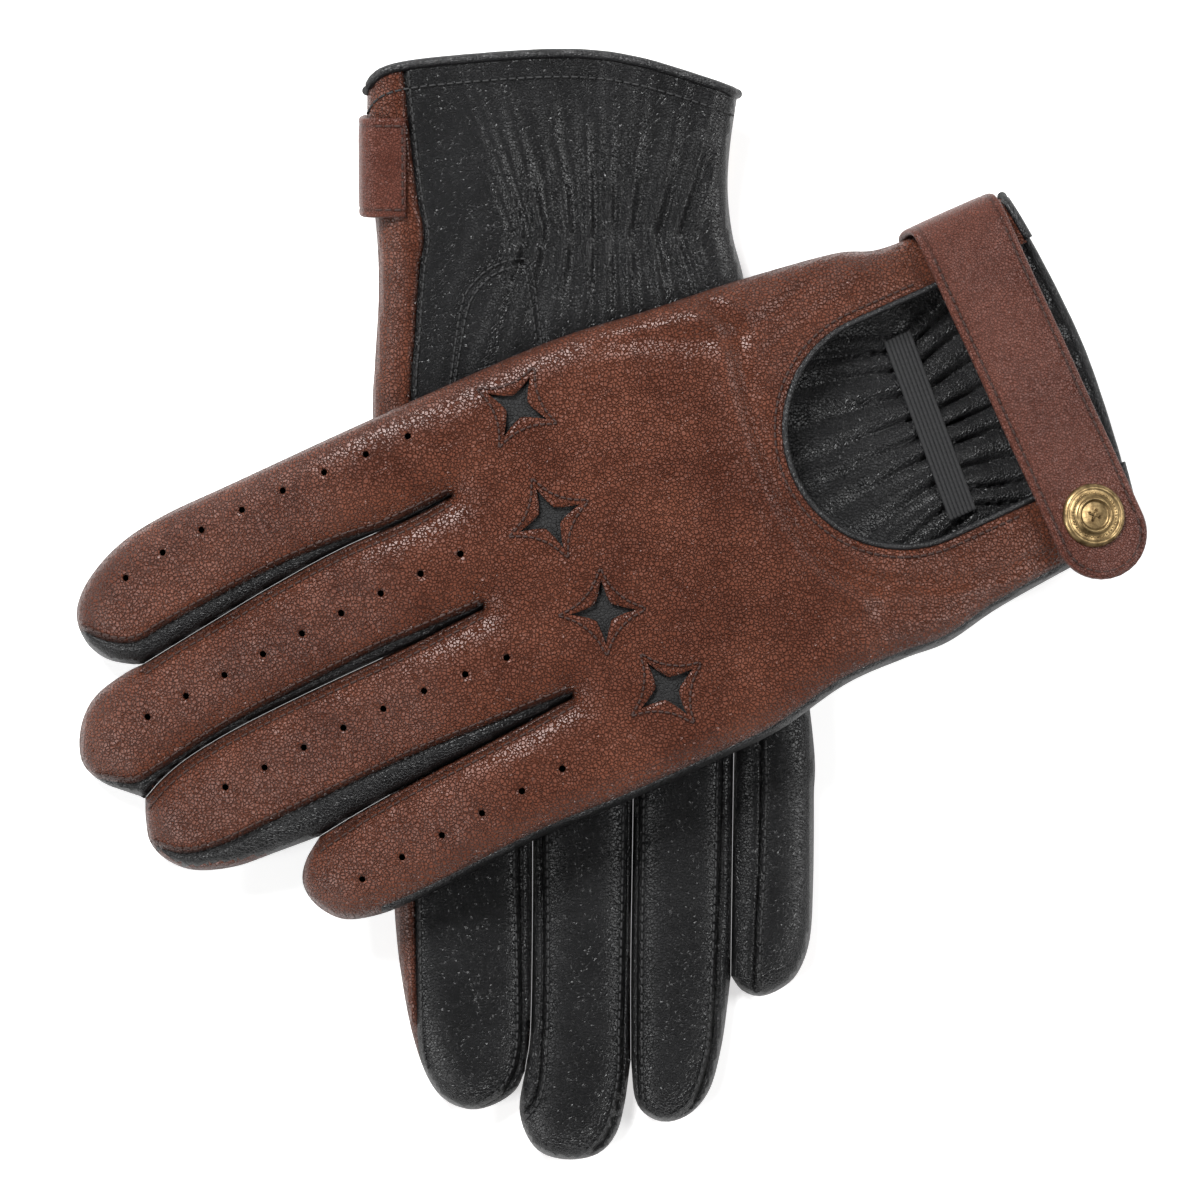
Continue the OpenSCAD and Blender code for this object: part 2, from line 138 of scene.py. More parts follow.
# Each glove's sides and fingertips, from the cuff along the index-finger side to the little-finger side
SIDES = [
    dict(index=[(-34, -26.5), (-20, -26.4), (-4, -27), (6, -30.3), (27, -33.4), (50, -35.8), (73, -38.6),
                (107, -39.2), (150, -39.3), (168, -39.3), (180, -37.6), (190, -33.2), (195.6, -27.5),
                (196.3, -20.7), (193.5, -15.2), (188.5, -11.6), (186.2, -10.8)],
         middle=[(186.2, -10.8), (191, -10.6), (198.5, -9.1), (203.5, -6), (207.2, -1), (208.6, 4.4),
                 (206.3, 9.7), (202.5, 13.6), (198.8, 17)],
         ring=[(198.8, 17), (200.6, 21.2), (202, 26.5), (200.2, 31.8), (195.2, 36.6), (186.4, 39.6),
               (176, 40.5), (166, 41.2)],
         little=[(166, 41.2), (171.3, 45), (174, 49.4), (173.3, 55), (169.3, 60.2), (163, 62.5), (155, 63.2),
                 (141, 62.8), (120, 61.8), (98, 62.6), (77, 62.6), (62, 62.2), (44, 59), (30, 59.2),
                 (19, 60), (6, 57.9), (-10, 56.6), (-30, 55.5)],
         slits=[[(186.2, -10.8), (168, -12.9), (153, -14.5), (135, -15.7), (118, -15.5), (107, -16.2)],
                [(198.8, 17), (192.9, 14.5), (184.7, 12.5), (172, 11.2), (153, 10.6), (130, 10.4),
                 (111, 9.7)],
                [(166, 41.2), (156, 40), (141, 38.7), (126, 37.8), (101, 36.2)]],
         cuff=[(-34, -26.5), (-35.2, -14), (-36, 0), (-36, 13), (-34.6, 28), (-32.6, 42), (-30, 55.5)]),
    dict(index=[(-31.7, -49.2), (-20, -49), (0.4, -47.1), (14, -46.8), (29, -47.7), (42, -48.2), (80, -46.8),
                (120, -44.6), (154, -43.2), (170, -41.4), (182, -39), (191, -35.8), (196.2, -31.8),
                (198.4, -26), (197.2, -20.5), (194, -15.8), (189.5, -13.6)],
         middle=[(189.5, -13.6), (198, -14.9), (204.4, -13.2), (208.4, -9.6), (209.8, -3.4), (208.4, 3),
                 (204, 7), (197, 9), (187, 10.4)],
         ring=[(187, 10.4), (196, 11.4), (200, 14.4), (201.2, 19), (199, 24.3), (193.4, 28.5), (184, 31),
               (175, 32.3), (168, 33.1)],
         little=[(168, 33.1), (171.3, 35.6), (172.7, 39.6), (171, 44.4), (167.4, 48.3), (160, 51),
                 (148, 51.8),
                 (128, 52), (112, 51.6), (60, 44.5), (30, 39.8), (10, 36), (0, 33.4), (-10, 32.3),
                 (-20, 32.8), (-31, 34.4)],
         slits=[[(189.5, -13.6), (178, -12.3), (142, -11.9), (107, -12.2)],
                [(187, 10.4), (165, 10.4), (130, 10.9), (111, 11)],
                [(168, 33.1), (130, 33.6), (101, 34)]],
         cuff=[(-31.7, -49.2), (-35, -46.5), (-37, -40), (-38.5, -26), (-39.6, -9), (-39.3, 3), (-37.6, 13),
               (-35, 22), (-31, 34.4)]),
]
# Seams between a finger's back or palm leather and the fourchettes at its sides
BACK_SEAMS = [
    [[(107, -16.5), (124, -16.2), (131, -17.1), (146, -18.1), (165, -17.4), (178, -16.5), (185.5, -15.9),
      (191.5, -18.8), (196.4, -24)],
     [(187, -9.6), (178, -11), (168, -11.9), (153, -13.5), (135, -14.7), (118, -14.5), (107.5, -15.6)],
     [(111, 9), (124, 8.6), (137, 8.2), (153, 8.7), (171, 9.6), (183, 11), (193, 12.6), (200, 12.8),
      (207.6, 8)],
     [(199.6, 18.6), (192.9, 15.6), (184.7, 13.6), (172, 12.2), (153, 11.6), (130, 11.4), (111.5, 10.4)],
     [(101, 35), (121, 34), (138, 33.2), (156, 33.3), (175, 33.7), (187, 33.8), (196, 32), (201.8, 27.2)],
     [(167.5, 43.2), (156, 41.2), (141, 39.8), (126, 38.9), (101.5, 37)]],
    [[(107, -14), (142, -14), (178, -14), (188, -15), (196, -22)],
     [(192, -12.2), (178, -10.6), (142, -10), (107.5, -10.6)],
     [(111, 9), (150, 8.6), (185, 8.6), (200, 7), (208, 2)],
     [(190, 12.2), (165, 12.2), (130, 12.6), (111.5, 12.4)],
     [(101, 32), (130, 31.4), (170, 30.6), (186, 29), (198, 24)],
     [(169.5, 35.6), (150, 35.4), (130, 35.6), (101.5, 35.8)]],
]
PALM_SEAMS = [
    [[(107, -17.4), (150, -18), (180, -17), (190, -20), (196, -25)],
     [(187, -9.4), (150, -12.6), (107.5, -14.6)],
     [(111, 8.4), (150, 8), (185, 10), (200, 12.4), (207.6, 8)],
     [(199.4, 18.6), (184.7, 14.4), (150, 12.4), (111.5, 11)],
     [(101, 34.4), (140, 33), (180, 33.6), (196, 32), (201.8, 27.2)],
     [(167.5, 43.4), (150, 41.4), (101.5, 37.6)]],
    [[(107, -14.6), (142, -15), (158, -14.5), (179, -14.2), (188, -15.2), (194.5, -18.6), (198, -24)],
     [(200, -14.4), (192, -10.4), (165, -9.4), (139, -9.7), (107.5, -9.8)],
     [(111, 9.6), (129, 9.8), (165, 9.2), (179, 8.8), (192, 8.4), (203, 5.6), (208.6, 1)],
     [(198.4, 12.8), (192, 11.9), (165, 11.8), (129, 12.2), (111.5, 12)],
     [(101, 31.4), (120, 31.1), (144, 30.7), (172, 29.6), (186, 28.3), (197, 24.6), (200.6, 20)],
     [(170.6, 38.4), (158, 38.7), (144, 39.5), (117, 39.9), (104, 38), (101.5, 35)]],
]
# Seam of the back leather that is turned on to the palm, and of the palm leather at the little-finger side
SIDE_SEAM = [
    [(-36, -17), (0, -18), (38, -26), (80, -30.5), (150, -34), (186, -32.5), (193, -31)],
    [(-36.5, -40.8), (-26.6, -39.9), (-8.8, -37.9), (0.4, -36.3), (8.5, -37.4), (23, -38.5), (38, -39.4),
     (80, -39.4), (151, -38.5), (172, -38.2), (184, -37.8), (189.5, -36.6)],
]
ROLL_W = 1.7


def loop_of(g):
    s = SIDES[g]
    parts = [spline(s["index"])]
    for finger, slit in zip(("middle", "ring", "little"), s["slits"]):
        curve = spline(slit)
        gap = np.array([0.0, 0.04])
        parts += [curve - gap, curve[::-1] + gap, spline(s[finger])[1:]]
    return np.concatenate(parts)


SIDE_LINE = [loop_of(LEFT), loop_of(RIGHT)]
CUFF_LINE = [spline(SIDES[g]["cuff"]) for g in (LEFT, RIGHT)]
OUTLINE = [np.concatenate([SIDE_LINE[g], CUFF_LINE[g][::-1][1:-1]]) for g in (LEFT, RIGHT)]


def distance(p, line):
    """Distance from each point to a polyline."""
    a, b = line[:-1], line[1:]
    ab = b - a
    length2 = (ab ** 2).sum(1) + 1e-12
    best = np.full(len(p), 1e9)
    for k in range(0, len(a), 64):
        ak, abk, lk = a[k:k + 64], ab[k:k + 64], length2[k:k + 64]
        t = np.clip(((p[:, None] - ak) * abk).sum(2) / lk, 0, 1)
        d = np.linalg.norm(p[:, None] - ak - abk * t[..., None], axis=2)
        best = np.minimum(best, d.min(1))
    return best


def inside(p, poly):
    x, y = p[:, 0], p[:, 1]
    hit = np.zeros(len(p), bool)
    for (x0, y0), (x1, y1) in zip(poly, np.roll(poly, -1, axis=0)):
        if y0 == y1:
            continue
        hit ^= ((y0 > y) != (y1 > y)) & (x < (x1 - x0) * (y - y0) / (y1 - y0) + x0)
    return hit


def bump(d, width):
    return np.exp(-(d / width) ** 2)


# Folds of the leather: curve, height (below 0 is a crease) and width
BACK_FOLDS = [
    [([(38, -35), (33.5, -24), (36.5, -12), (38.6, 2), (39, 16), (36, 32), (28, 42)], -1.15, 1.7),
     ([(43, -36), (38, -24), (41, -12), (43, 2), (43.6, 16), (41, 32), (33, 44)], 0.9, 2.6),
     ([(8, -28), (22, -24), (33, -22), (46, -27), (62, -33)], -0.85, 2.2),
     ([(4, -22), (18, -19), (30, -16), (36, -10)], -0.4, 1.6),
     ([(26, 42), (14, 48), (2, 51), (-8, 52)], -0.8, 1.8),
     ([(30, 47), (18, 52.5), (4, 54)], -0.4, 1.6),
     ([(52, 60), (60, 50), (64, 38)], -0.3, 2.4)],
    [([(38, -50), (36, -30), (38.6, -16), (39, -6), (36, 10), (28, 18)], -0.6, 1.8)],
]
KEYHOLE = [(38.3, -31.1), (17.1, -28.1), (11.2, -25.3), (7.3, -20.7), (5.6, -14.9), (7.3, -12.2),
           (24.5, -9.8),
           (44, -8)]
PALM_FOLDS = [
    [],
    [([(36, -31.5), (17.5, -28.4), (11.6, -25.5), (8, -20.7), (6.4, -15.2), (8, -12.8), (24.5, -10.2)],
      -0.5, 1.1),
     ([(60, -37), (30, -35), (12, -31), (-4, -26)], -0.5, 2.4),
     ([(30, -24), (19, -21), (13.5, -17.5)], 0.5, 2.2),
     ([(-12, -8), (-24, -4), (-34, 2)], -0.45, 2.6),
     ([(-10, 8), (-22, 12), (-33, 14)], 0.4, 3.0),
     ([(16, 24), (34, 20), (50, 10)], -0.5, 3.0),
     ([(10, 30), (30, 30), (50, 24)], 0.4, 3.4)],
]
GATHER_Y = [(-7, 36), (-16, 24)]


def relief(g, side, p):
    """Folds and gathers: height of the leather over its smooth shape."""
    z = np.zeros(len(p))
    for line, height, width in (BACK_FOLDS if side > 0 else PALM_FOLDS)[g]:
        z += height * bump(distance(p, spline(line, 2.5)), width)
    x, y = p[:, 0], p[:, 1]
    z += 0.16 * np.sin(x / 9.0 + 2.2 * np.sin(y / 17.0)) * np.cos(y / 11.0 + x / 40.0)
    if side < 0:
        low, high = GATHER_Y[g]
        spread = 1 + np.abs(x) / 55.0
        mid = (low + high) / 2
        u = (y - mid) / spread
        window = 1 / (1 + np.exp((np.abs(u) - (high - low) / 2) / 1.2))
        reach = np.exp(-np.abs(x - 1) / np.where(x > 0, 13.0, 17.0))
        phase = 2 * math.pi * u / 4.8 + 0.9 * np.sin(u / 3.1) + 0.2 * np.sin(x / 9.0)
        crest = 2 * (0.5 + 0.5 * np.sin(phase)) ** 1.5 - 1
        gather = window * reach * (1.7 * crest - 0.3) - window * 0.9 * bump(x - 1, 2.2)
        z += np.maximum(gather, -1.2)
    return z


def rise(g, side, p, extra=()):
    """Height over the middle plane of the glove: round at the sides, flat in the middle, pinched at seams."""
    d = distance(p, SIDE_LINE[g])
    r = np.where(p[:, 0] > 95, ROUND_R + 1.0, ROUND_R)
    u = 1 - np.clip(d / r, 0, 1)
    body = np.sqrt(np.clip(1 - u ** 2.3, 0, 1))
    seams = (BACK_SEAMS if side > 0 else PALM_SEAMS)[g]
    pinch = np.zeros(len(p))
    for seam in list(seams) + list(extra):
        pinch = np.maximum(pinch, bump(distance(p, spline(seam, 2.5)), 0.75))
    h = MIDDLE * body + relief(g, side, p) * np.clip(d / 5, 0, 1) - 0.75 * pinch * np.clip(d / 1.5, 0, 1)
    top = MIDDLE if g == RIGHT and side > 0 else MIDDLE + 1.4
    return np.clip(h, 0.02, top), pinch


def surface(g, side, p, lift=0.0):
    p = np.asarray(p, float).reshape(-1, 2)
    h, _ = rise(g, side, p, extra=[SIDE_SEAM[g]] if side < 0 else ())
    return np.column_stack([p, MIDDLE + side * (h + lift)])


# ---------------------------------------------------------------- mesh helpers
def new_object(name, verts, faces, material, body=None, edge=None):
    mesh = bpy.data.meshes.new(name)
    mesh.from_pydata([tuple(v) for v in verts], [], faces)
    mesh.materials.append(material)
    mesh.update()
    mesh.polygons.foreach_set("use_smooth", [True] * len(mesh.polygons))
    if edge is not None:
        mesh.attributes.new("seam", "FLOAT", "POINT").data.foreach_set("value", np.asarray(edge, float))
    obj = bpy.data.objects.new(name, mesh)
    bpy.context.scene.collection.objects.link(obj)
    if body:
        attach(obj, body)
    return obj


def triangulate(loops, lines, spacing, keep):
    """Triangles of a plan with exact edges along every loop and line."""
    pts, edges = [], []
    for loop in loops:
        n0 = len(pts)
        pts += [tuple(q) for q in loop]
        edges += [(n0 + k, n0 + (k + 1) % len(loop)) for k in range(len(loop))]
    for line in lines:
        n0 = len(pts)
        pts += [tuple(q) for q in line]
        edges += [(n0 + k, n0 + k + 1) for k in range(len(line) - 1)]
    ring = np.concatenate(loops + lines)
    low, high = ring.min(0), ring.max(0)
    rows = np.arange(low[1], high[1], spacing * 0.866)
    grid = np.array([(x + (k % 2) * spacing / 2, y) for k, y in enumerate(rows)
                     for x in np.arange(low[0], high[0], spacing)])
    grid = grid[keep(grid)]
    near = np.full(len(grid), 1e9)
    for line in [np.vstack([q, q[:1]]) for q in loops] + list(lines):
        near = np.minimum(near, distance(grid, np.asarray(line)))
    grid = grid[near > spacing * 0.45]
    pts += [tuple(q) for q in grid]
    v, _, f, _, _, _ = delaunay_2d_cdt([Vector(q) for q in pts], edges, [], 0, 1e-4)
    v = np.array([tuple(q) for q in v])
    f = np.array([t for t in f if len(t) == 3])
    return v, f[keep(v[f].mean(1))]


def sheet(name, g, side, v, f, lift, material, thickness, extra=()):
    """A piece of leather lying in the glove's surface, with its own thickness turned inwards."""
    used, index = np.unique(f, return_inverse=True)
    v, f = v[used], index.reshape(-1, 3)
    h, pinch = rise(g, side, v, extra)
    p = on_table(g, np.column_stack([v, MIDDLE + side * (h + lift)]))
    area = (v[f[:, 1]] - v[f[:, 0]])
    other = (v[f[:, 2]] - v[f[:, 0]])
    anticlockwise = (area[:, 0] * other[:, 1] - area[:, 1] * other[:, 0]) > 0
    f = np.where(anticlockwise[:, None], f, f[:, ::-1])
    if (side < 0) != (g == RIGHT):
        f = f[:, ::-1]
    obj = new_object(name, p, f.tolist(), material, body=NAME[g] + "_glove", edge=pinch)
    solid = obj.modifiers.new("thickness", "SOLIDIFY")
    solid.thickness = thickness * MM
    solid.offset = -1
    solid.use_even_offset = False
    return obj


def tube(path, radius, sides=10):
    """A round tube with closed ends along a path."""
    path = np.asarray(path, float)
    n = len(path)
    tangent = np.gradient(path, axis=0)
    tangent /= np.linalg.norm(tangent, axis=1)[:, None] + 1e-12
    verts, faces = [], []
    for k in range(n):
        t = Vector(tangent[k])
        a = t.cross(Vector((0, 0, 1)))
        if a.length < 1e-6:
            a = t.cross(Vector((1, 0, 0)))
        a.normalize()
        b = a.cross(t)
        for j in range(sides):
            w = 2 * math.pi * j / sides
            verts.append(Vector(path[k]) + (a * math.cos(w) + b * math.sin(w)) * radius)
    for k in range(n - 1):
        for j in range(sides):
            a0, a1 = k * sides + j, k * sides + (j + 1) % sides
            b0, b1 = a0 + sides, a1 + sides
            faces.append((a0, a1, b1, b0))
    faces.append(tuple(range(sides))[::-1])
    faces.append(tuple((n - 1) * sides + j for j in range(sides)))
    return verts, faces


def resample(line, step):
    line = np.asarray(line, float)
    seg = np.linalg.norm(np.diff(line, axis=0), axis=1)
    s = np.concatenate([[0], np.cumsum(seg)])
    n = max(2, int(s[-1] / step))
    u = np.linspace(0, s[-1], n + 1)
    return np.column_stack([np.interp(u, s, line[:, k]) for k in range(line.shape[1])])


def join_parts(parts):
    verts, faces = [], []
    for v, f in parts:
        n0 = len(verts)
        verts += list(v)
        faces += [tuple(n0 + i for i in q) for q in f]
    return verts, faces


def offset_line(line, d):
    line = np.asarray(line, float)
    t = np.gradient(line, axis=0)
    t /= np.linalg.norm(t, axis=1)[:, None] + 1e-12
    return line + d * np.column_stack([-t[:, 1], t[:, 0]])


def stitch_parts(points, pitch=2.0, length=1.5, radius=0.27):
    """Sewn stitches along a line of points in metres."""
    line = resample(points, pitch * MM)
    parts = []
    for a, b in zip(line, line[1:]):
        gap = (1 - length / pitch) / 2
        p, q = a + (b - a) * gap, b - (b - a) * gap
        mid = (p + q) / 2
        parts.append(tube([p, p * 0.75 + q * 0.25, mid, p * 0.25 + q * 0.75, q],
                          radius * MM, sides=6))
    return parts


# ---------------------------------------------------------------- materials
def group(name, inputs, outputs):
    tree = bpy.data.node_groups.new(name, "ShaderNodeTree")
    for label, kind, value in inputs:
        sock = tree.interface.new_socket(label, in_out="INPUT", socket_type=kind)
        sock.default_value = value
    for label, kind in outputs:
        tree.interface.new_socket(label, in_out="OUTPUT", socket_type=kind)
    return tree, tree.nodes.new("NodeGroupInput"), tree.nodes.new("NodeGroupOutput")


def math_node(tree, op, a, b):
    node = tree.nodes.new("ShaderNodeMath")
    node.operation = op
    for sock, value in zip(node.inputs, (a, b)):
        if isinstance(value, (int, float)):
            sock.default_value = value
        else:
            tree.links.new(value, sock)
    return node.outputs[0]


def leather_grain_group():
    """Pebbled hide: fine cells, larger soft wrinkles, and blotches where the dye took unevenly."""
    tree, gin, gout = group("leather_grain", [
        ("Cell Scale", "NodeSocketFloat", 1300.0), ("Wrinkle Scale", "NodeSocketFloat", 170.0),
        ("Wrinkle Share", "NodeSocketFloat", 0.5)],
        [("Height", "NodeSocketFloat"), ("Blotch", "NodeSocketFloat"), ("Crack", "NodeSocketFloat")])
    link = tree.links.new
    place = tree.nodes.new("ShaderNodeTexCoord").outputs["Object"]
    warp = tree.nodes.new("ShaderNodeTexNoise")
    warp.inputs["Scale"].default_value = 420
    warp.inputs["Detail"].default_value = 2
    link(place, warp.inputs["Vector"])
    shifted = tree.nodes.new("ShaderNodeVectorMath")
    shifted.operation = "MULTIPLY_ADD"
    link(warp.outputs["Color"], shifted.inputs[0])
    shifted.inputs[1].default_value = (0.0012, 0.0012, 0.0012)
    link(place, shifted.inputs[2])
    cells = tree.nodes.new("ShaderNodeTexVoronoi")
    cells.feature = "DISTANCE_TO_EDGE"
    link(shifted.outputs[0], cells.inputs["Vector"])
    link(gin.outputs["Cell Scale"], cells.inputs["Scale"])
    crack = tree.nodes.new("ShaderNodeMapRange")
    crack.inputs["From Max"].default_value = 0.16
    link(cells.outputs["Distance"], crack.inputs["Value"])
    wrinkle = tree.nodes.new("ShaderNodeTexNoise")
    wrinkle.inputs["Detail"].default_value = 5
    wrinkle.inputs["Roughness"].default_value = 0.62
    wrinkle.inputs["Distortion"].default_value = 0.7
    link(place, wrinkle.inputs["Vector"])
    link(gin.outputs["Wrinkle Scale"], wrinkle.inputs["Scale"])
    folded = math_node(tree, "MULTIPLY", wrinkle.outputs["Fac"], gin.outputs["Wrinkle Share"])
    height = math_node(tree, "ADD", math_node(tree, "MULTIPLY", crack.outputs["Result"], 0.55), folded)
    link(height, gout.inputs["Height"])
    blotch = tree.nodes.new("ShaderNodeTexNoise")
    blotch.inputs["Scale"].default_value = 55
    blotch.inputs["Detail"].default_value = 6
    blotch.inputs["Roughness"].default_value = 0.65
    link(place, blotch.inputs["Vector"])
    link(blotch.outputs["Fac"], gout.inputs["Blotch"])
    link(crack.outputs["Result"], gout.inputs["Crack"])
    return tree


GRAIN = leather_grain_group()


def material(name):
    mat = bpy.data.materials.new(name)
    mat.use_nodes = True
    tree = mat.node_tree
    return mat, tree, tree.nodes["Principled BSDF"]


def mix_colour(tree, factor, a, b):
    node = tree.nodes.new("ShaderNodeMix")
    node.data_type = "RGBA"
    for sock, value in ((node.inputs[0], factor), (node.inputs[6], a), (node.inputs[7], b)):
        if isinstance(value, (int, float)):
            sock.default_value = value
        elif isinstance(value, tuple):
            sock.default_value = (*value, 1)
        else:
            tree.links.new(value, sock)
    return node.outputs[2]


def leather(name, dark, light, groove, rough, grain=1.0, cell=1300.0, wrinkle=170.0, share=0.5, coat=0.0):
    mat, tree, bsdf = material(name)
    link = tree.links.new
    hide = tree.nodes.new("ShaderNodeGroup")
    hide.node_tree = GRAIN
    hide.inputs["Cell Scale"].default_value = cell
    hide.inputs["Wrinkle Scale"].default_value = wrinkle
    hide.inputs["Wrinkle Share"].default_value = share
    spread = tree.nodes.new("ShaderNodeMapRange")
    spread.inputs["From Min"].default_value = 0.35
    spread.inputs["From Max"].default_value = 0.68
    link(hide.outputs["Blotch"], spread.inputs["Value"])
    colour = mix_colour(tree, spread.outputs["Result"], dark, light)
    cracked = math_node(tree, "SUBTRACT", 1.0, hide.outputs["Crack"])
    colour = mix_colour(tree, math_node(tree, "MULTIPLY", cracked, 0.28), colour, groove)
    seam = tree.nodes.new("ShaderNodeAttribute")
    seam.attribute_name = "seam"
    colour = mix_colour(tree, math_node(tree, "MULTIPLY", seam.outputs["Fac"], 0.55), colour, groove)
    link(colour, bsdf.inputs["Base Color"])
    uneven = tree.nodes.new("ShaderNodeMapRange")
    uneven.inputs["To Min"].default_value = rough - 0.06
    uneven.inputs["To Max"].default_value = rough + 0.1
    link(hide.outputs["Blotch"], uneven.inputs["Value"])
    link(uneven.outputs["Result"], bsdf.inputs["Roughness"])
    relief_node = tree.nodes.new("ShaderNodeBump")
    relief_node.inputs["Strength"].default_value = min(1.0, 1.0 * grain)
    relief_node.inputs["Distance"].default_value = 0.0009
    link(hide.outputs["Height"], relief_node.inputs["Height"])
    link(relief_node.outputs["Normal"], bsdf.inputs["Normal"])
    bsdf.inputs["Specular IOR Level"].default_value = 0.42
    bsdf.inputs["Coat Weight"].default_value = coat
    bsdf.inputs["Coat Roughness"].default_value = 0.38
    return mat


def fibre(name, dark, light, scale, rough):
    mat, tree, bsdf = material(name)
    link = tree.links.new
    place = tree.nodes.new("ShaderNodeTexCoord").outputs["Object"]
    noise = tree.nodes.new("ShaderNodeTexNoise")
    noise.inputs["Scale"].default_value = scale
    noise.inputs["Detail"].default_value = 4
    link(place, noise.inputs["Vector"])
    link(mix_colour(tree, noise.outputs["Fac"], dark, light), bsdf.inputs["Base Color"])
    bsdf.inputs["Roughness"].default_value = rough
    fuzz = tree.nodes.new("ShaderNodeBump")
    fuzz.inputs["Strength"].default_value = 0.6
    fuzz.inputs["Distance"].default_value = 0.0002
    link(noise.outputs["Fac"], fuzz.inputs["Height"])
    link(fuzz.outputs["Normal"], bsdf.inputs["Normal"])
    return mat


def aged_brass(name, bright, dull):
    mat, tree, bsdf = material(name)
    link = tree.links.new
    place = tree.nodes.new("ShaderNodeTexCoord").outputs["Object"]
    patina = tree.nodes.new("ShaderNodeTexNoise")
    patina.inputs["Scale"].default_value = 420
    patina.inputs["Detail"].default_value = 7
    patina.inputs["Roughness"].default_value = 0.7
    link(place, patina.inputs["Vector"])
    worn = tree.nodes.new("ShaderNodeMapRange")
    worn.inputs["From Min"].default_value = 0.38
    worn.inputs["From Max"].default_value = 0.62
    link(patina.outputs["Fac"], worn.inputs["Value"])
    link(mix_colour(tree, worn.outputs["Result"], dull, bright), bsdf.inputs["Base Color"])
    shine = tree.nodes.new("ShaderNodeMapRange")
    shine.inputs["To Min"].default_value = 0.5
    shine.inputs["To Max"].default_value = 0.3
    link(patina.outputs["Fac"], shine.inputs["Value"])
    link(shine.outputs["Result"], bsdf.inputs["Roughness"])
    bsdf.inputs["Metallic"].default_value = 0.92
    dents = tree.nodes.new("ShaderNodeBump")
    dents.inputs["Strength"].default_value = 0.25
    dents.inputs["Distance"].default_value = 0.0002
    link(patina.outputs["Fac"], dents.inputs["Height"])
    link(dents.outputs["Normal"], bsdf.inputs["Normal"])
    return mat


CHESTNUT = leather("chestnut_grain_leather", (0.083, 0.022, 0.0105), (0.135, 0.040, 0.020),
                   (0.020, 0.006, 0.0035), 0.37)
STRAP_HIDE = leather("chestnut_strap_leather", (0.092, 0.025, 0.015), (0.132, 0.041, 0.026),
                     (0.024, 0.008, 0.005), 0.42, grain=0.8, cell=1700.0)
BLACK = leather("black_smooth_leather", (0.0030, 0.0030, 0.0034), (0.0065, 0.0065, 0.0072),
                (0.001, 0.001, 0.001), 0.38, grain=0.55, cell=1500.0)
BLACK_TRIM = leather("black_trim_leather", (0.005, 0.005, 0.0055), (0.011, 0.011, 0.012),
                     (0.002, 0.002, 0.002), 0.36, grain=0.35, cell=1700.0)
BLACK_INLAY = leather("black_inlay_leather", (0.003, 0.003, 0.0032), (0.006, 0.006, 0.0065),
                      (0.001, 0.001, 0.001), 0.62, grain=0.5, cell=1200.0)
THREAD_BROWN = fibre("dark_brown_thread", (0.018, 0.006, 0.004), (0.045, 0.016, 0.010), 3000, 0.7)
THREAD_BLACK = fibre("black_thread", (0.006, 0.006, 0.006), (0.022, 0.022, 0.023), 3000, 0.65)
ELASTIC = fibre("ribbed_elastic", (0.004, 0.004, 0.0045), (0.013, 0.013, 0.014), 1800, 0.75)
BRASS = aged_brass("antique_brass", (0.42, 0.30, 0.145), (0.13, 0.085, 0.038))
DARK_BRASS = aged_brass("darkened_brass", (0.16, 0.10, 0.04), (0.05, 0.03, 0.014))


# ---------------------------------------------------------------- glove panels
def opening_outline(g, grow=0.0):
    mid = OPENING_MID[g]
    r = OPENING_R + grow
    arc = [(OPENING_X + r * math.cos(a), mid + r * math.sin(a))
           for a in np.linspace(-math.pi / 2, math.pi / 2, 46)]
    return np.array([(-60, mid - r)] + [(x, mid - r) for x in np.linspace(-50, OPENING_X - 1, 50)] + arc
                    + [(x, mid + r) for x in np.linspace(OPENING_X - 1, -50, 50)] + [(-60, mid + r)])


STAR_AT = [[(85.3, -28.2, 42), (89.0, -2.4, 0), (86.8, 21.7, -20), (80.9, 43.2, 13)],
           [(86, -31.5, 42), (89, -5, 0), (87, 19, -20), (81, 38, 13)]]


def star_outline(g, k, size=7.6, waist=0.34):
    x, y, turn = STAR_AT[g][k]
    corners = []
    for j in range(9):
        a = math.radians(turn + 45 * j)
        r = size * (1 if j % 2 == 0 else waist)
        corners.append((x + r * math.cos(a), y + r * math.sin(a)))
    out = []
    for p, q in zip(corners, corners[1:]):
        p, q = np.array(p), np.array(q)
        pull = np.array([x, y])
        for t in np.linspace(0, 1, 6)[:-1]:
            out.append(p + (q - p) * t + (pull - (p + q) / 2) * 0.10 * 4 * t * (1 - t))
    return np.array(out)


HOLE_ROWS = [
    [[(110.3, -32.3), (141, -32.9), (165, -32.4), (181.7, -30)], [(110.5, -3.4), (150, -2), (190.3, 0.6)],
     [(110.7, 22), (141, 21), (180.8, 22.3)], [(109.7, 49.8), (140.3, 52.2), (161.1, 53.9)]],
    [[(110.3, -31), (181, -29)], [(110.5, 0), (190.3, -2)], [(110.7, 22), (180.8, 20)],
     [(109.7, 43.4), (161.1, 43.4)]],
]
HOLES = [8, 9, 8, 6]


def hole_centres(g):
    out = []
    for row, n in zip(HOLE_ROWS[g], HOLES):
        line = spline(row, 1.0)
        s = np.concatenate([[0], np.cumsum(np.linalg.norm(np.diff(line, axis=0), axis=1))])
        for u in np.linspace(0, s[-1], n):
            out.append((np.interp(u, s, line[:, 0]), np.interp(u, s, line[:, 1])))
    return out


def circle(x, y, r, n=12):
    return np.array([(x + r * math.cos(2 * math.pi * k / n), y + r * math.sin(2 * math.pi * k / n))
                     for k in range(n)])


SPACING = 1.05


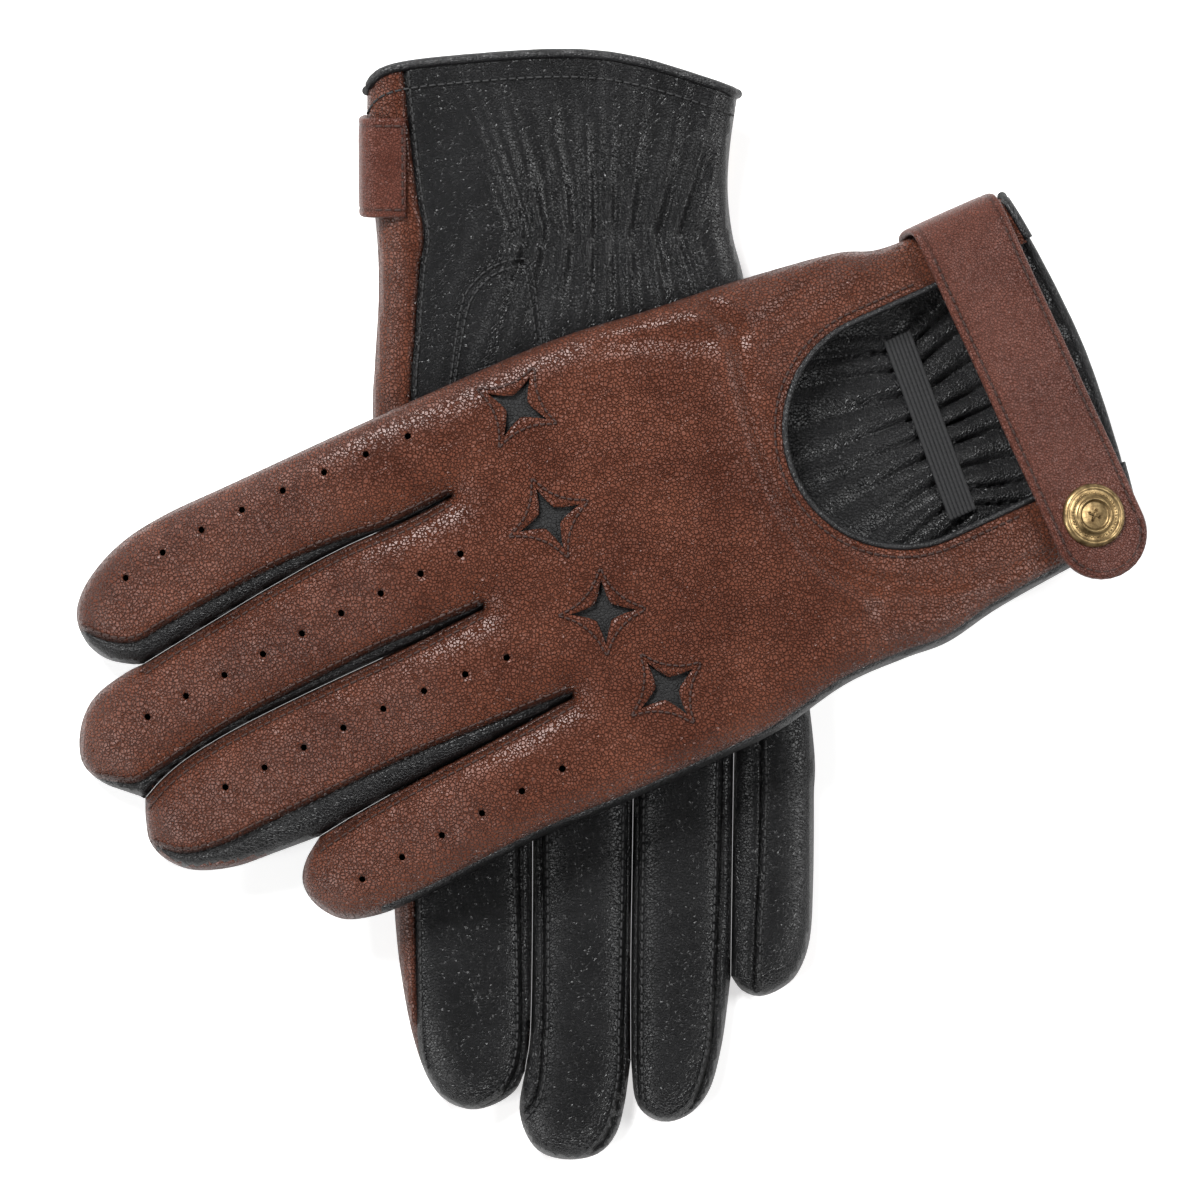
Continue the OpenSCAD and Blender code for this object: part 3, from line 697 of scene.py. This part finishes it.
def build_glove(g):
    outline = OUTLINE[g]
    brown_seam = spline(SIDE_SEAM[g])

    def on_glove(p):
        return inside(p, outline)

    for side in (1, -1):
        seams = [spline(q) for q in (BACK_SEAMS if side > 0 else PALM_SEAMS)[g]]
        lines = [q[1:-1] for q in seams]
        loops = [outline]
        holes = []
        if side > 0:
            opening = opening_outline(g, 0.9)
            holes = [star_outline(g, k) for k in range(4)] + [circle(x, y, 0.78) for x, y in hole_centres(g)]
            loops = loops + holes
            low_x = outline[:, 0].min() - 1
            opening = opening[opening[:, 0] > low_x]
            lines = lines + [opening]
            roll = offset_line(spline(SIDES[g]["little"]), ROLL_W)
            roll = roll[(roll[:, 0] < 160) & inside(roll, outline)]
            lines = lines + [roll]
        else:
            lines = lines + [brown_seam[inside(brown_seam, outline)]]

        def keep(p, side=side, holes=holes):
            ok = on_glove(p)
            if side > 0:
                ok &= ~inside(p, opening_outline(g, 0.9))
                for hole in holes:
                    ok &= ~inside(p, hole)
            return ok

        v, f = triangulate(loops, lines, SPACING, keep)
        mid = v[f].mean(1)
        region = np.zeros(len(f), int)
        for k in range(3):
            a, b = seams[2 * k], seams[2 * k + 1]
            tip = (a[-1] + b[0]) / 2
            crotch = (a[0] + b[-1]) / 2
            axis = (tip - crotch) / np.linalg.norm(tip - crotch)
            beyond_tip = tip + axis * 12
            shape = np.vstack([crotch[None] - axis * 0.4, a, beyond_tip[None], b])
            slit = spline(SIDES[g]["slits"][k])
            hit = inside(mid, shape)
            inner = np.array([slit[np.argmin(np.linalg.norm(slit - m, axis=1))] for m in mid[hit]])
            normal = np.array([-axis[1], axis[0]])
            toward = ((mid[hit] - inner) @ normal) < 0
            region[np.where(hit)[0]] = np.where(toward, 2 * k + 1, 2 * k + 2)
        if side > 0:
            rolled = (distance(mid, spline(SIDES[g]["little"])) < ROLL_W) & (mid[:, 0] < 160) & (region == 0)
            region[rolled] = 7
        else:
            strip = np.zeros(len(f), bool)
            seam_x, seam_y = brown_seam[:, 0], brown_seam[:, 1]
            limit = np.interp(mid[:, 0], seam_x, seam_y)
            strip = (mid[:, 1] < limit) & (region == 0)
            region[strip] = 8
        top = side > 0
        names = {0: "back_panel" if top else "palm_panel",
                 1: "fourchette_index", 2: "fourchette_middle_inner", 3: "fourchette_middle_outer",
                 4: "fourchette_ring_inner", 5: "fourchette_ring_outer", 6: "fourchette_little",
                 7: "palm_roll", 8: "back_side_strip"}
        for key, label in names.items():
            part = f[region == key]
            if len(part) == 0:
                continue
            turned_edge = top and key in (2, 4, 6)
            brown = (key == 0 and top) or key == 8 or turned_edge
            mat = CHESTNUT if brown else BLACK
            full = NAME[g] + "_" + label + ("_leather" if key in (0, 7, 8) else ("_back" if top else "_palm"))
            if turned_edge:
                full = NAME[g] + "_finger_edge_" + label
            obj = sheet(full, g, side, v, part, 0.0, mat, LEATHER * (0.95 if top else 1.0),
                        extra=[SIDE_SEAM[g]] if not top else ())
            if key == 0 or key in ((1, 3, 5) if top else (2, 4, 6)):
                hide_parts(NAME[g] + "_" + label)


def build_star_backing(g):
    ring = np.array([(70, -33 if g == LEFT else -38), (100, -33 if g == LEFT else -38), (101, -6), (101, 20),
                     (97, 50 if g == LEFT else 45), (69, 54 if g == LEFT else 43)], float)
    loop = resample(np.vstack([ring, ring[:1]]), 2.0)[:-1]
    v, f = triangulate([loop], [], 2.0, lambda p: inside(p, loop))
    obj = sheet(NAME[g] + "_star_inlay", g, 1, v, f, -1.15, BLACK_INLAY, 0.6)
    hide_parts(NAME[g] + "_star_backing")


def build_thumb(g):
    root = np.array([58.0, -17.0] if g == LEFT else [53.0, -25.1])
    turn = math.radians(50 if g == LEFT else -2)
    axis = np.array([math.cos(turn), math.sin(turn)])
    side = np.array([-axis[1], axis[0]])
    shape = [(-11, -4.5), (-10.5, 5), (-4, 10.6), (8, 11.6), (26, 11.2), (40, 10.4), (47.5, 7), (50.8, 0),
             (47.5, -7), (40, -10.6), (26, -11.6), (8, -11.8), (-4, -10.8), (-11, -4.5)]
    loop = np.array([root + axis * a + side * b for a, b in spline(shape, 1.5)])[:-1]
    v, f = triangulate([loop], [], 1.6, lambda p: inside(p, loop))
    d = distance(v, np.vstack([loop, loop[:1]]))
    body = np.sqrt(np.clip(1 - (1 - np.clip(d / 7, 0, 1)) ** 2.2, 0, 1))
    along = (v - root) @ axis
    wave = 0.14 * np.sin(along / 3.1) * np.clip(d / 4, 0, 1)
    top = np.column_stack([v, -3.45 + 3.4 * body])
    low = np.column_stack([v, -3.45 - (3.4 * body + wave)])
    n = len(v)
    p = on_table(g, np.vstack([top, low]))
    f = f.tolist()
    faces = f + [[i + n for i in t[::-1]] for t in f]
    obj = new_object(NAME[g] + "_thumb_leather", p, faces, BLACK, body=NAME[g] + "_glove",
                     edge=np.zeros(2 * n))
    bm = bmesh.new()
    bm.from_mesh(obj.data)
    bmesh.ops.remove_doubles(bm, verts=bm.verts, dist=0.00006)
    bmesh.ops.recalc_face_normals(bm, faces=bm.faces)
    bm.to_mesh(obj.data)
    bm.free()
    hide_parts(NAME[g] + "_thumb")
    rows = []
    for off in (-11.9, 11.4):
        rows.append([root + axis * a + side * (off * 0.97) for a in np.linspace(0, 38, 20)])
    parts = []
    for row in rows:
        parts += stitch_parts(on_table(g, np.column_stack([row, np.full(len(row), -3.45)])))
    v2, f2 = join_parts(parts)
    new_object(NAME[g] + "_thumb_stitching", v2, f2, THREAD_BLACK, body=NAME[g] + "_glove")


# ---------------------------------------------------------------- trim: piping, bindings, elastic
def build_piping(g):
    line = opening_outline(g, 0.45)
    line = line[line[:, 0] > -34]
    h, _ = rise(g, 1, line)
    path = on_table(g, np.column_stack([line, MIDDLE + h - 0.15]))
    v, f = tube(path, 0.72 * MM, sides=10)
    obj = new_object(NAME[g] + "_wrist_opening_piping", v, f, BLACK_TRIM, body=NAME[g] + "_glove")
    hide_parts(NAME[g] + "_opening_piping")


def build_cuff_binding(g):
    palm = CUFF_LINE[g]
    mid = OPENING_MID[g]
    y0, y1 = mid - OPENING_R - 0.8, mid + OPENING_R + 0.8
    back0 = palm[palm[:, 1] < y0][::-1]
    back1 = palm[palm[:, 1] > y1][::-1]
    hp, _ = rise(g, -1, palm)
    hb0, _ = rise(g, 1, back0)
    hb1, _ = rise(g, 1, back1)
    lip = 0.5 * np.sin(np.linspace(0, 5.5, len(palm))) if g == LEFT else np.zeros(len(palm))
    loop = np.vstack([
        np.column_stack([back0, MIDDLE + hb0 - 0.4]),
        np.column_stack([palm, MIDDLE - hp + 0.4 + lip * 0.3]),
        np.column_stack([back1, MIDDLE + hb1 - 0.4]),
    ])
    loop[:, 0] -= 0.6
    keep = [0]
    for k in range(1, len(loop)):
        if np.linalg.norm(loop[k] - loop[keep[-1]]) > 0.8:
            keep.append(k)
    loop = loop[keep]
    v, f = tube(on_table(g, loop), 1.15 * MM, sides=12)
    obj = new_object(NAME[g] + "_cuff_rolled_binding", v, f, BLACK_TRIM, body=NAME[g] + "_glove")
    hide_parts(NAME[g] + "_cuff_binding")


def build_elastic(g):
    """Ribbed elastic inside the palm: seven cords side by side, rippled where the stitches gather it."""
    y0, y1 = (-7.5, 35.5) if g == LEFT else (-16, 24)
    parts = []
    for k in range(7):
        x = -1.2 + k * 0.93
        ys = np.linspace(y0, y1, 90)
        line = np.column_stack([np.full(90, x) + 3.2 * (ys - y0) / (y1 - y0) - 1.0, ys])
        h = np.full(len(line), MIDDLE - 0.3)
        lift = 0.10 * np.sin(ys * 2 * math.pi / 1.15 + k)
        path = on_table(g, np.column_stack([line, MIDDLE - h + LEATHER + 1.35 + lift]))
        parts.append(tube(path, 0.56 * MM, sides=8))
    v, f = join_parts(parts)
    obj = new_object(NAME[g] + "_shirring_elastic", v, f, ELASTIC, body=NAME[g] + "_glove")
    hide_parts(NAME[g] + "_palm_elastic")


# ---------------------------------------------------------------- stitching
def build_stitches(g):
    brown, black = [], []

    def row(points, side, parts, lift=0.16, pitch=2.0, length=1.5):
        pts = resample(points, 0.8)
        pts = pts[inside(pts, OUTLINE[g])]
        if len(pts) < 3:
            return
        parts += stitch_parts(on_table(g, surface(g, side, pts, lift)), pitch, length)

    for seam in BACK_SEAMS[g]:
        row(offset_line(spline(seam), -1.2), 1, brown)
    for k in range(4):
        star = star_outline(g, k, 10.2, 0.52)
        row(np.vstack([star, star[:1]]), 1, brown, pitch=1.5, length=1.1)
    around = opening_outline(g, 2.7)
    row(around[(around[:, 0] > -8) if g == LEFT else (around[:, 0] > -33)], 1, brown, pitch=1.8, length=1.3)
    for seam in PALM_SEAMS[g]:
        row(offset_line(spline(seam), -1.1), -1, black)
    row(offset_line(spline(SIDE_SEAM[g]), 1.1), -1, black)
    cuff = CUFF_LINE[g].copy()
    cuff[:, 0] += 4.6
    row(cuff, -1, black)
    if g == RIGHT:
        row(spline(KEYHOLE), -1, black, pitch=1.9)
        row(spline([(24, -10.9), (8.6, -13.4), (7.4, -15.2), (9, -20.4), (12.6, -24.2), (18, -26.8),
                    (36, -29.8)]),
            -1, black, pitch=1.9)
    for parts, mat, label in ((brown, THREAD_BROWN, "brown_stitching"), (black, THREAD_BLACK,
                                                                         "black_stitching")):
        v, f = join_parts(parts)
        new_object(NAME[g] + "_" + label, v, f, mat, body=NAME[g] + "_glove")


# ---------------------------------------------------------------- strap and snap
def strap_frame(g):
    """The flat of the wrist as it lies: a centre, its directions, and how to place points on it."""
    angle = WRIST_DROOP[g]

    def place(x, y, z):
        flat = np.array([[x, y, 0.0]], float)
        base = turned(g, flat)[0]
        up = turned(g, np.array([[x, y, 1.0]]))[0] - base
        tilt = math.sin(angle)
        along = (np.array([-math.cos(CROSS_ANGLE), -math.sin(CROSS_ANGLE), 0]) if g == LEFT
                 else np.array([0, -1.0, 0]))
        normal = up * math.cos(angle) - along * tilt
        return (base + normal * z + PLACE[g]) * MM

    return place


def build_strap(g):
    place = strap_frame(g)
    edge = WRIST_MID[g] - HALF_WRIST
    end = WRIST_MID[g] + HALF_WRIST + STRAP_PAST[g]
    mid_z = STRAP_Z + STRAP_T / 2
    front, back = STRAP_FRONT[g], STRAP_BACK[g]
    mid_x, half = (front + back) / 2, (front - back) / 2
    out = edge - 1.0
    route = spline([(edge + 8.6, -0.55), (edge + 4, -0.75), (out + 1.2, -0.1), (out - 0.1, 3), (out - 0.2, 8),
                    (out + 0.5, 11.4), (out + 2.4, mid_z - 0.5), (edge + 5, mid_z), (edge + 9, mid_z)], 0.8)
    flat = np.array([(y, mid_z) for y in np.arange(edge + 10, end - 0.01, 1.1)] + [(end - 0.25, mid_z),
                                                                                  (end, mid_z)])
    path = np.vstack([route[:-1], flat])
    tangent = np.gradient(path, axis=0)
    tangent /= np.linalg.norm(tangent, axis=1)[:, None]
    normal = np.column_stack([-tangent[:, 1], tangent[:, 0]])
    sections, faces = [], []
    across = [-1, -0.985, -0.955, -0.9, -0.84, -0.78, -0.6, -0.35, 0, 0.35, 0.6, 0.78, 0.84, 0.9, 0.955,
              0.985, 1]
    thick = [0.12, 0.62, 0.85, 0.93, 0.80, 0.95, 1, 1.02, 1.03, 1.02, 1, 0.95, 0.80, 0.93, 0.85, 0.62, 0.12]
    ring = len(across) * 2
    seam = []
    for (y, z), (ny, nz) in zip(path, normal):
        left = end - y
        narrow = 1.0 if left >= half else math.sqrt(max(0.0004, 1 - ((half - left) / half) ** 2))
        thin = min(1.0, 0.3 + left / 1.2)
        wave = 0.10 * math.sin(y / 4.7)
        row = []
        for sign in (1, -1):
            order = range(len(across)) if sign > 0 else range(len(across) - 1, -1, -1)
            for k in order:
                x = mid_x + across[k] * half * narrow
                w = sign * STRAP_T / 2 * thick[k] * thin + wave
                row.append(place(x, y + ny * w, z + nz * w))
                seam.append(1.0 if k in (4, 12) else (0.35 if k in (0, 16) else 0.0))
        sections.append(row)
    for i in range(len(sections) - 1):
        for j in range(ring):
            a, b = i * ring + j, i * ring + (j + 1) % ring
            faces.append((a, b, b + ring, a + ring))
    n = len(sections)
    faces.append(tuple(range(ring))[::-1])
    faces.append(tuple((n - 1) * ring + j for j in range(ring)))
    verts = [p for row in sections for p in row]
    obj = new_object(NAME[g] + "_wrist_strap", verts, faces, STRAP_HIDE, edge=seam)
    bm = bmesh.new()
    bm.from_mesh(obj.data)
    bmesh.ops.recalc_face_normals(bm, faces=bm.faces)
    bm.to_mesh(obj.data)
    bm.free()
    bend_start = place(mid_x, edge - 0.2, mid_z)
    bend_end = place(mid_x, edge + 4.5, mid_z)
    tuple(bend_start)
    tuple(bend_end)
    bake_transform(obj)
    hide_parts(NAME[g] + "_strap_root", NAME[g] + "_strap_outer", NAME[g] + "_strap_lining")

    # stitching along both long edges and round the end, on the outside of the strap
    lift = STRAP_T / 2 * 0.86
    rows = []
    for sign in (1, -1):
        rows.append([place(mid_x + sign * half * STITCH_IN, y, mid_z + lift)
                     for y in np.arange(edge + 6.5, end - half, 1.0)])
    row_r = half * STITCH_IN
    rows.append([place(mid_x + row_r * math.cos(a), end - half + row_r * math.sin(a), mid_z + lift)
                 for a in np.linspace(0.02, math.pi - 0.02, 30)])
    parts = []
    for points in rows:
        parts += stitch_parts(points, 1.9, 1.35)
    v, f = join_parts(parts)
    new_object(NAME[g] + "_strap_stitching", v, f, THREAD_BROWN, body=NAME[g] + "_strap")
    fixed = []
    for sign in (1, -1):
        fixed += stitch_parts([place(mid_x + sign * half * STITCH_IN, edge + u, -0.55 - STRAP_T / 2)
                               for u in np.arange(1.5, 8.4, 0.8)], 1.9, 1.35)
    fixed += stitch_parts([place(x, edge + 7.9, -0.55 - STRAP_T / 2)
                           for x in np.arange(back + 2, front - 2, 0.8)], 1.9, 1.35)
    v, f = join_parts(fixed)
    new_object(NAME[g] + "_strap_root_stitching", v, f, THREAD_BROWN, body=NAME[g] + "_glove")


def turned_profile(profile, sides=56):
    """A body of revolution about Z from (radius, height) pairs."""
    verts, faces = [], []
    for r, z in profile:
        for k in range(sides):
            a = 2 * math.pi * k / sides
            verts.append(Vector((r * math.cos(a), r * math.sin(a), z)))
    for i in range(len(profile) - 1):
        for k in range(sides):
            a, b = i * sides + k, i * sides + (k + 1) % sides
            faces.append((a, b, b + sides, a + sides))
    faces.append(tuple(range(sides))[::-1])
    faces.append(tuple((len(profile) - 1) * sides + k for k in range(sides)))
    return verts, faces


def ball(x, y, z, r, squash=1.0):
    verts, faces = [], []
    rings, sides = 5, 8
    for i in range(1, rings):
        a = math.pi * i / rings
        for k in range(sides):
            b = 2 * math.pi * k / sides
            verts.append(Vector((x + r * math.sin(a) * math.cos(b), y + r * math.sin(a) * math.sin(b),
                                 z + r * squash * math.cos(a))))
    for i in range(rings - 2):
        for k in range(sides):
            p, q = i * sides + k, i * sides + (k + 1) % sides
            faces.append((p, p + sides, q + sides, q))
    faces.append(tuple(range(sides)))
    faces.append(tuple((rings - 2) * sides + k for k in range(sides))[::-1])
    return verts, faces


def build_snap(g):
    """Antique cap: domed rim, a ring of small beads, and a sewn-button motif in the sunk middle."""
    place = strap_frame(g)
    low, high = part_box(NAME[g] + "_snap_post")
    centre = Vector([(a + b) / 2 for a, b in zip(low, high)])
    origin, above = Vector(place(0, 0, 0)), Vector(place(0, 0, 10))
    up = (above - origin).normalized()
    along = (Vector(place(10, 0, 0)) - origin).normalized()
    across = up.cross(along)
    turn = Matrix((along, across, up)).transposed().to_4x4()
    base = centre + up * (STRAP_Z + STRAP_T - 8.65) * MM

    def seat(parts):
        v, f = join_parts(parts)
        return [base + turn.to_3x3() @ (p * MM) for p in v], f

    rim = [(6.3, -0.15), (7.1, 0.0), (7.25, 0.35), (7.15, 0.75), (6.75, 1.15), (6.35, 1.3), (6.1, 1.32),
           (5.9, 1.2), (5.75, 1.12), (4.3, 1.34), (4.15, 1.5), (4.0, 1.78), (3.75, 1.95), (3.5, 1.9),
           (3.3, 1.62), (3.15, 1.3), (2.9, 1.2), (0.9, 1.12), (0.02, 1.12)]
    beads = [ball(5.02 * math.cos(a), 5.02 * math.sin(a), 1.28, 0.27, 0.75)
             for a in np.arange(44) * 2 * math.pi / 44]
    v, f = seat([turned_profile(rim)])
    cap = new_object(NAME[g] + "_snap_cap_shell", v, f, BRASS, body=NAME[g] + "_strap")
    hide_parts(NAME[g] + "_snap_cap")
    v, f = seat(beads)
    new_object(NAME[g] + "_snap_bead_ring", v, f, BRASS, body=NAME[g] + "_strap")
    holes = [turned_profile([(0.42, 1.02), (0.42, 1.15), (0.3, 1.16), (0.02, 1.16)], 16) for _ in range(4)]
    spots = [(0.85, 0.85), (-0.85, 0.85), (-0.85, -0.85), (0.85, -0.85)]
    holes = [([p + Vector((x, y, 0)) for p in v0], f0) for (v0, f0), (x, y) in zip(holes, spots)]
    v, f = seat(holes)
    new_object(NAME[g] + "_snap_button_holes", v, f, DARK_BRASS, body=NAME[g] + "_strap")
    cross = []
    for (x0, y0), (x1, y1) in ((spots[0], spots[2]), (spots[1], spots[3])):
        for shift in (-0.12, 0.12):
            line = [(x0 + (x1 - x0) * t + shift, y0 + (y1 - y0) * t, 1.15 + 0.32 * math.sin(math.pi * t))
                    for t in np.linspace(0, 1, 9)]
            cross.append(tube(line, 0.15, sides=7))
    v, f = seat(cross)
    new_object(NAME[g] + "_snap_button_thread", v, f, BRASS, body=NAME[g] + "_strap")


# ---------------------------------------------------------------- carried-over metal and lining pieces
def finish_kept_nodes():
    for g in (LEFT, RIGHT):
        for label, mat in (("snap_stud", BRASS), ("snap_post", DARK_BRASS), ("snap_socket", BRASS),
                           ("snap_reinforcement", BLACK_INLAY)):
            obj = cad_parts[NAME[g] + "_" + label]
            for slot in obj.material_slots:
                slot.material = mat


# ---------------------------------------------------------------- table, light and camera
def build_stage():
    mesh = bpy.data.meshes.new("table")
    half = 3.0
    mesh.from_pydata([(-half, -half, 0), (half, -half, 0), (half, half, 0), (-half, half, 0)], [],
                     [(0, 1, 2, 3)])
    table = bpy.data.objects.new("table", mesh)
    table.location.z = -0.0003
    bpy.context.scene.collection.objects.link(table)
    mat, tree, bsdf = material("pale_table")
    bsdf.inputs["Base Color"].default_value = (0.80, 0.80, 0.795, 1)
    bsdf.inputs["Roughness"].default_value = 0.9
    bsdf.inputs["Emission Color"].default_value = (1, 1, 1, 1)
    bsdf.inputs["Emission Strength"].default_value = 0.62
    mesh.materials.append(mat)
    world = bpy.data.worlds.new("studio")
    bpy.context.scene.world = world
    world.use_nodes = True
    world.node_tree.nodes["Background"].inputs["Color"].default_value = (1, 1, 1, 1)
    # the surroundings look white, but light the leather only softly
    tree = world.node_tree
    seen = tree.nodes.new("ShaderNodeLightPath").outputs["Is Camera Ray"]
    strength = math_node(tree, "ADD", math_node(tree, "MULTIPLY", seen, 0.85), 0.10)
    tree.links.new(strength, tree.nodes["Background"].inputs["Strength"])
    for name, place, power, size in (("key_light", (-0.35, 0.62, 0.80), 17.0, 0.35),
                                     ("fill_light", (0.80, 0.10, 0.70), 6.0, 0.4),
                                     ("back_light", (-0.75, -0.35, 0.75), 5.5, 0.4)):
        data = bpy.data.lights.new(name, "AREA")
        data.energy = power
        data.size = size
        lamp = bpy.data.objects.new(name, data)
        lamp.location = place
        lamp.rotation_euler = (Vector((0, 0, 0)) - Vector(place)).to_track_quat("-Z", "Y").to_euler()
        bpy.context.scene.collection.objects.link(lamp)


def build_camera():
    data = bpy.data.cameras.new("camera")
    data.sensor_width = 36
    height, aim_z, view_w = 1.6, 0.02, 0.270
    data.lens = 36 * (height - aim_z) / view_w
    data.clip_start = 0.05
    camera = bpy.data.objects.new("camera", data)
    camera.location = (-0.0008, 0.0032, height)
    bpy.context.scene.collection.objects.link(camera)
    bpy.context.scene.camera = camera
    bpy.context.scene.view_settings.view_transform = "Standard"


build_camera()
build_stage()
for glove in (LEFT, RIGHT):
    build_glove(glove)
    build_star_backing(glove)
    build_thumb(glove)
    build_piping(glove)
    build_cuff_binding(glove)
    build_elastic(glove)
    build_stitches(glove)
    build_strap(glove)
    build_snap(glove)
finish_kept_nodes()
